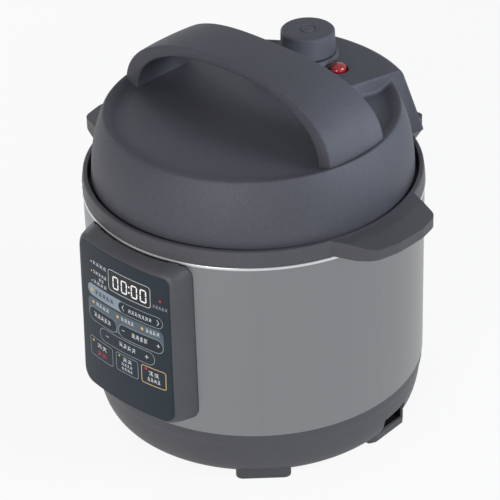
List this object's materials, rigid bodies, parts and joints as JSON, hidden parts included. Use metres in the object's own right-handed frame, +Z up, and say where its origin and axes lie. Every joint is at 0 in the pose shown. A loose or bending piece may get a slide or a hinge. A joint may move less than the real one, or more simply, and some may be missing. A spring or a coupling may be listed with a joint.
{
  "type": "electric pressure cooker",
  "caption": "Round electric pressure cooker with a bayonet lid, arched lid handle, steam weight, side handles and a bowed front control panel.",
  "frame": {"origin": "on the floor under the axis of the pot, at the middle of the bounding box's base", "axes": "+Z up, -Y towards the control panel, +X towards the side handle next to the power inlet"},
  "size_m": [0.284, 0.2603, 0.274],
  "materials": {
    "body_plastic": "fine matte texture",
    "lid_plastic": "fine matte texture",
    "black_plastic": "satin",
    "foot_rubber": "dull",
    "wall_steel": "satin, fine vertical grain",
    "well_steel": "plain sheet",
    "pan_steel": "pressed",
    "inner_lid_steel": "polished",
    "spring_steel": "drawn wire",
    "screw_steel": "plated",
    "switch_metal": "plated",
    "sensor_metal": "plain",
    "cast_aluminium": "machined top",
    "vent_metal": "turned",
    "panel_film": "semi-gloss printed film",
    "float_red": "gloss",
    "cup_plastic": "semi-gloss",
    "board_green": "solder mask",
    "copper_parts": "wound wire and taped cores",
    "pin_brass": "nickel plated",
    "pot_coating": "non-stick coating on aluminium",
    "silicone": "translucent silicone",
    "insulation": "glass fibre felt"
  },
  "bodies": {
    "cooker_body": {"base_shell": "body_plastic", "bottom_cover": "body_plastic", "feet": "foot_rubber", "outer_wall": "wall_steel", "collar": "body_plastic", "handle_underplates": "black_plastic", "panel_housing": "body_plastic", "panel_overlay": "panel_film", "display_module": "black_plastic", "control_board": "board_green", "key_switches": "switch_metal", "outer_pot": "well_steel", "lock_ring": "pan_steel", "heat_insulation": "insulation", "heating_plate": "cast_aluminium", "plate_springs": "spring_steel", "sensor_spring": "spring_steel", "sensor_bridge": "well_steel", "well_screws": "screw_steel", "thermal_fuse": "sensor_metal", "power_board": "board_green", "board_parts": "copper_parts", "power_inlet": "black_plastic", "inlet_pins": "pin_brass", "base_screws": "screw_steel"},
    "pot": {"inner_pot": "pot_coating"},
    "inner_cover": {"inner_lid": "inner_lid_steel", "lid_gasket": "silicone", "lid_grommet": "silicone"},
    "lid": {"lid_cover": "lid_plastic", "lid_handle": "lid_plastic", "handle_screws": "screw_steel", "lid_pan": "pan_steel", "lid_stud": "pan_steel", "pan_screws": "screw_steel", "weight_seat": "lid_plastic", "vent_pipe": "vent_metal", "clog_guard": "vent_metal", "float_guide": "vent_metal"},
    "weight": {"steam_weight": "lid_plastic"},
    "float": {"float_pin": "float_red", "float_seal": "silicone"},
    "sensor": {"sensor_cap": "sensor_metal"},
    "cup": {"dew_cup": "cup_plastic"}
  },
  "joints": [
    {"name": "pot_lift", "type": "slide", "parent": "cooker_body", "child": "pot", "axis": [0, 0, 1], "range_m": [0, 0.15]},
    {"name": "inner_cover_lift", "type": "slide", "parent": "pot", "child": "inner_cover", "axis": [0, 0, 1], "range_m": [0, 0.12]},
    {"name": "lid_turn", "type": "hinge", "parent": "inner_cover", "child": "lid", "pos_m": [0, 0, 0.186], "axis": [0, 0, 1], "range_deg": [-27, 0]},
    {"name": "weight_turn", "type": "hinge", "parent": "lid", "child": "weight", "pos_m": [-0.014, 0.072, 0.244], "axis": [0, 0, 1], "range_deg": [0, 60]},
    {"name": "float_rise", "type": "slide", "parent": "lid", "child": "float", "axis": [0, 0, 1], "range_m": [0, 0.003]},
    {"name": "sensor_press", "type": "slide", "parent": "cooker_body", "child": "sensor", "axis": [0, 0, 1], "range_m": [-0.003, 0], "stiffness_N_per_m": 500, "springref_m": 0.002, "deforming": ["sensor_spring"]},
    {"name": "cup_slide", "type": "slide", "parent": "cooker_body", "child": "cup", "axis": [0, 1, 0], "range_m": [0, 0.04]}
  ]
}
